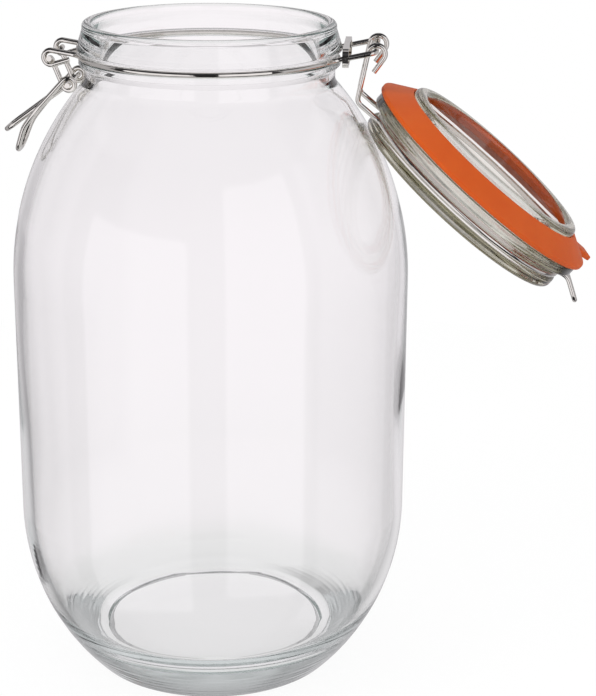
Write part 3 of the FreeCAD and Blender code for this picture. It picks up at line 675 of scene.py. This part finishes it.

# What is seen through the glass: the backdrop, the far part of the table below it in painted shade,
# greyer than the lit floor, and away from the backdrop a share of these: grey sides that lighten
# upward, a light front, a light foot of the room and a darker top.
BACKDROP = (0.975, 0.937, 0.962)
# Painted shade: the table under and behind the jar, greyer than the lit floor.
SHADED_TABLE = (0.87, 0.862, 0.866)
SHADED_TABLE_HEIGHTS = (-0.62, -0.26)
SIDE_GREY = 0.40
FLANK_GREY = 0.80
FLANK_HEIGHTS = (-0.45, 0.0)
FACING_GREY = 0.84
FACING_TURNS = (55.0, 85.0)
LOW_GREY = 0.68
LOW_HEIGHTS = (-0.70, -0.58)
ABOVE_HEIGHTS = (0.15, 0.75)
ABOVE_SHADE = 0.50

# Lamps: name, place, width and height in metres, and watts. All look at the same place.
LAMPS = [
    ("key", (-0.9, -0.8, 1.0), 0.5, 0.9, 12.0),
    ("fill", (1.1, -0.5, 0.8), 0.4, 0.8, 5.0),
]
LAMP_TARGET = (0, 0, 0.12)

MOST_BOUNCES = 48
GLOSSY_BOUNCES = 32


def make_floor():
    """A disc just under the jar's foot; metal and glass see the world's table instead."""
    angles = [index * 2 * math.pi / TABLE_SEGMENTS for index in range(TABLE_SEGMENTS)]
    rim = [(TABLE_RADIUS * math.cos(a), TABLE_RADIUS * math.sin(a), 0.0) for a in angles]
    mesh = bpy.data.meshes.new("floor")
    mesh.from_pydata(rim, [], [tuple(range(TABLE_SEGMENTS))])
    floor = bpy.data.objects.new("floor", mesh)
    floor.location.z = -TABLE_GAP
    floor.visible_glossy = False
    floor.visible_transmission = False
    bpy.context.scene.collection.objects.link(floor)
    material, tree, output = new_material("pale_floor")
    matt = add(tree, "BsdfDiffuse")
    matt.inputs["Color"].default_value = (*TABLE_WHITE, 1.0)
    glow = add(tree, "Emission")
    path = add(tree, "LightPath")
    share = joined(tree, "MULTIPLY", path.outputs["Is Camera Ray"], 1 - SHADOW_SHARE)
    mix = add(tree, "MixShader")
    tree.links.new(share, mix.inputs["Fac"])
    tree.links.new(matt.outputs["BSDF"], mix.inputs[1])
    tree.links.new(glow.outputs["Emission"], mix.inputs[2])
    tree.links.new(mix.outputs["Shader"], output.inputs["Surface"])
    mesh.materials.append(material)


def joined(tree, operation, first, second):
    """A Math node between two sockets or numbers."""
    node = add(tree, "Math", operation=operation)
    for slot, value in enumerate((first, second)):
        if isinstance(value, (int, float)):
            node.inputs[slot].default_value = value
        else:
            tree.links.new(value, node.inputs[slot])
    return node.outputs[0]


def rise(tree, value, start, end):
    """0 before the start, 1 after the end, smooth between them."""
    node = add(tree, "MapRange", interpolation_type="SMOOTHSTEP")
    node.inputs["From Min"].default_value = start
    node.inputs["From Max"].default_value = end
    tree.links.new(value, node.inputs["Value"])
    return node.outputs["Result"]


def between(tree, value, start, end, soft):
    """1 between the start and the end, 0 outside them, with soft edges."""
    return joined(tree, "SUBTRACT", rise(tree, value, start - soft, start + soft),
                  rise(tree, value, end - soft, end + soft))


def blended(tree, share, low, high):
    """A colour between two; each is a colour or a socket."""
    node = add(tree, "MixRGB")
    for name, value in (("Fac", share), ("Color1", low), ("Color2", high)):
        if isinstance(value, tuple):
            node.inputs[name].default_value = (*value, 1.0)
        else:
            tree.links.new(value, node.inputs[name])
    return node.outputs["Color"]


def scaled(tree, value, factor):
    """A value times a number."""
    return joined(tree, "MULTIPLY", value, factor)


def mirrored_room(tree, turn, height, behind):
    """What metal and glass mirror."""
    level = FRONT_GREY
    for start, end, low, high, strength in PANELS:
        panel = joined(tree, "MULTIPLY", between(tree, turn, start, end, PANEL_EDGES[0]),
                       between(tree, height, low, high, PANEL_EDGES[1]))
        level = joined(tree, "MAXIMUM", scaled(tree, panel, strength), level)
    level = joined(tree, "MAXIMUM", level, scaled(tree, behind, BEHIND_GREY))
    ceiling = between(tree, height, *CEILING_HEIGHTS, CEILING_EDGE)
    return blended(tree, ceiling, blended(tree, level, BLACK, MIRRORED_TINT), CEILING)


def passed_room(tree, aside, height, behind):
    """What is seen through the glass."""
    flank = scaled(tree, rise(tree, height, *FLANK_HEIGHTS), FLANK_GREY - SIDE_GREY)
    share = joined(tree, "MAXIMUM", behind, joined(tree, "ADD", flank, SIDE_GREY))
    facing = scaled(tree, rise(tree, aside, *FACING_TURNS), FACING_GREY)
    share = joined(tree, "MAXIMUM", share, joined(tree, "SUBTRACT", FACING_GREY, facing))
    low = scaled(tree, rise(tree, height, *LOW_HEIGHTS), LOW_GREY)
    share = joined(tree, "MAXIMUM", share, joined(tree, "SUBTRACT", LOW_GREY, low))
    above = joined(tree, "MULTIPLY", rise(tree, height, *ABOVE_HEIGHTS), share)
    share = joined(tree, "SUBTRACT", share, scaled(tree, above, ABOVE_SHADE))
    # Below the backdrop the glass shows the table in painted shade, greyer than the lit floor.
    lit = blended(tree, rise(tree, height, *SHADED_TABLE_HEIGHTS), SHADED_TABLE, BACKDROP)
    return blended(tree, share, BLACK, lit)


def make_world():
    """White to the camera, one grey to matt surfaces, and to metal and glass a lit room. Rays
    that pass through glass also count as glossy, so their share is blended in after the mirrored."""
    world = bpy.data.worlds.new("studio")
    bpy.context.scene.world = world
    world.use_nodes = True
    tree = world.node_tree
    tree.nodes.clear()
    output = tree.nodes.new("ShaderNodeOutputWorld")
    place = add(tree, "TexCoord")
    split = add(tree, "SeparateXYZ")
    tree.links.new(place.outputs["Generated"], split.inputs["Vector"])
    height = split.outputs["Z"]
    ahead = scaled(tree, split.outputs["Y"], -1.0)
    turn = scaled(tree, joined(tree, "ARCTAN2", split.outputs["X"], ahead), 180.0 / math.pi)
    aside = joined(tree, "ABSOLUTE", turn, 0.0)
    behind = rise(tree, aside, *BACKDROP_TURNS)
    mirrored = mirrored_room(tree, turn, height, behind)
    passed = passed_room(tree, aside, height, behind)
    path = add(tree, "LightPath")
    shiny = blended(tree, path.outputs["Is Glossy Ray"], (ROOM_GREY, ROOM_GREY, ROOM_GREY), mirrored)
    clear = blended(tree, path.outputs["Is Transmission Ray"], shiny, passed)
    white = blended(tree, path.outputs["Is Camera Ray"], clear, WHITE)
    sky = add(tree, "Background")
    tree.links.new(white, sky.inputs["Color"])
    tree.links.new(sky.outputs["Background"], output.inputs["Surface"])


def make_lamp(name, place, across, up, power):
    """A soft lamp for the matt pieces and the shadow; glass and metal mirror the room instead."""
    lamp = bpy.data.lights.new(name, "AREA")
    lamp.shape = "RECTANGLE"
    lamp.size = across
    lamp.size_y = up
    lamp.energy = power
    holder = bpy.data.objects.new(name, lamp)
    holder.location = place
    aim = Vector(LAMP_TARGET) - Vector(place)
    holder.rotation_euler = aim.to_track_quat("-Z", "Y").to_euler()
    holder.visible_glossy = False
    holder.visible_transmission = False
    bpy.context.scene.collection.objects.link(holder)


# The camera: how far round it stands, its distance from the jar's axis and its height, then where
# it looks: aside from the axis, down and rolled. Degrees and metres. The lens is a focal length in
# pixels over an image's longer side.
CAMERA_TURN = 6.5
CAMERA_DISTANCE = 0.69489
CAMERA_HEIGHT = 0.35709
LOOK_ASIDE = 2.741
LOOK_DOWN = 18.422
CAMERA_ROLL = 0.395
SENSOR = 36.0
FOCAL_PIXELS = 1886.8
LONG_SIDE = 696
CLIP_START = 0.01


def make_camera():
    data = bpy.data.cameras.new("camera")
    data.sensor_width = SENSOR
    data.lens = SENSOR * FOCAL_PIXELS / LONG_SIDE
    data.clip_start = CLIP_START
    camera = bpy.data.objects.new("camera", data)
    turn = math.radians(CAMERA_TURN)
    aside = math.radians(LOOK_ASIDE) - turn
    down = math.radians(LOOK_DOWN)
    ahead = Vector((math.sin(aside) * math.cos(down), math.cos(aside) * math.cos(down), -math.sin(down)))
    facing = ahead.to_track_quat("-Z", "Y").to_matrix().to_4x4()
    roll = Matrix.Rotation(math.radians(CAMERA_ROLL), 4, "Z")
    place = Vector((CAMERA_DISTANCE * math.sin(turn), -CAMERA_DISTANCE * math.cos(turn), CAMERA_HEIGHT))
    camera.matrix_world = Matrix.Translation(place) @ facing @ roll
    bpy.context.scene.collection.objects.link(camera)
    bpy.context.scene.camera = camera


make_jar()
make_lid()
make_rubber()
finish_wires()
make_floor()
make_world()
for lamp in LAMPS:
    make_lamp(*lamp)
make_camera()
bpy.context.scene.view_settings.view_transform = "Standard"
# Light runs far inside thick glass; with fewer bounces its edges go black.
bpy.context.scene.cycles.max_bounces = MOST_BOUNCES
bpy.context.scene.cycles.glossy_bounces = GLOSSY_BOUNCES
bpy.context.scene.cycles.transmission_bounces = MOST_BOUNCES
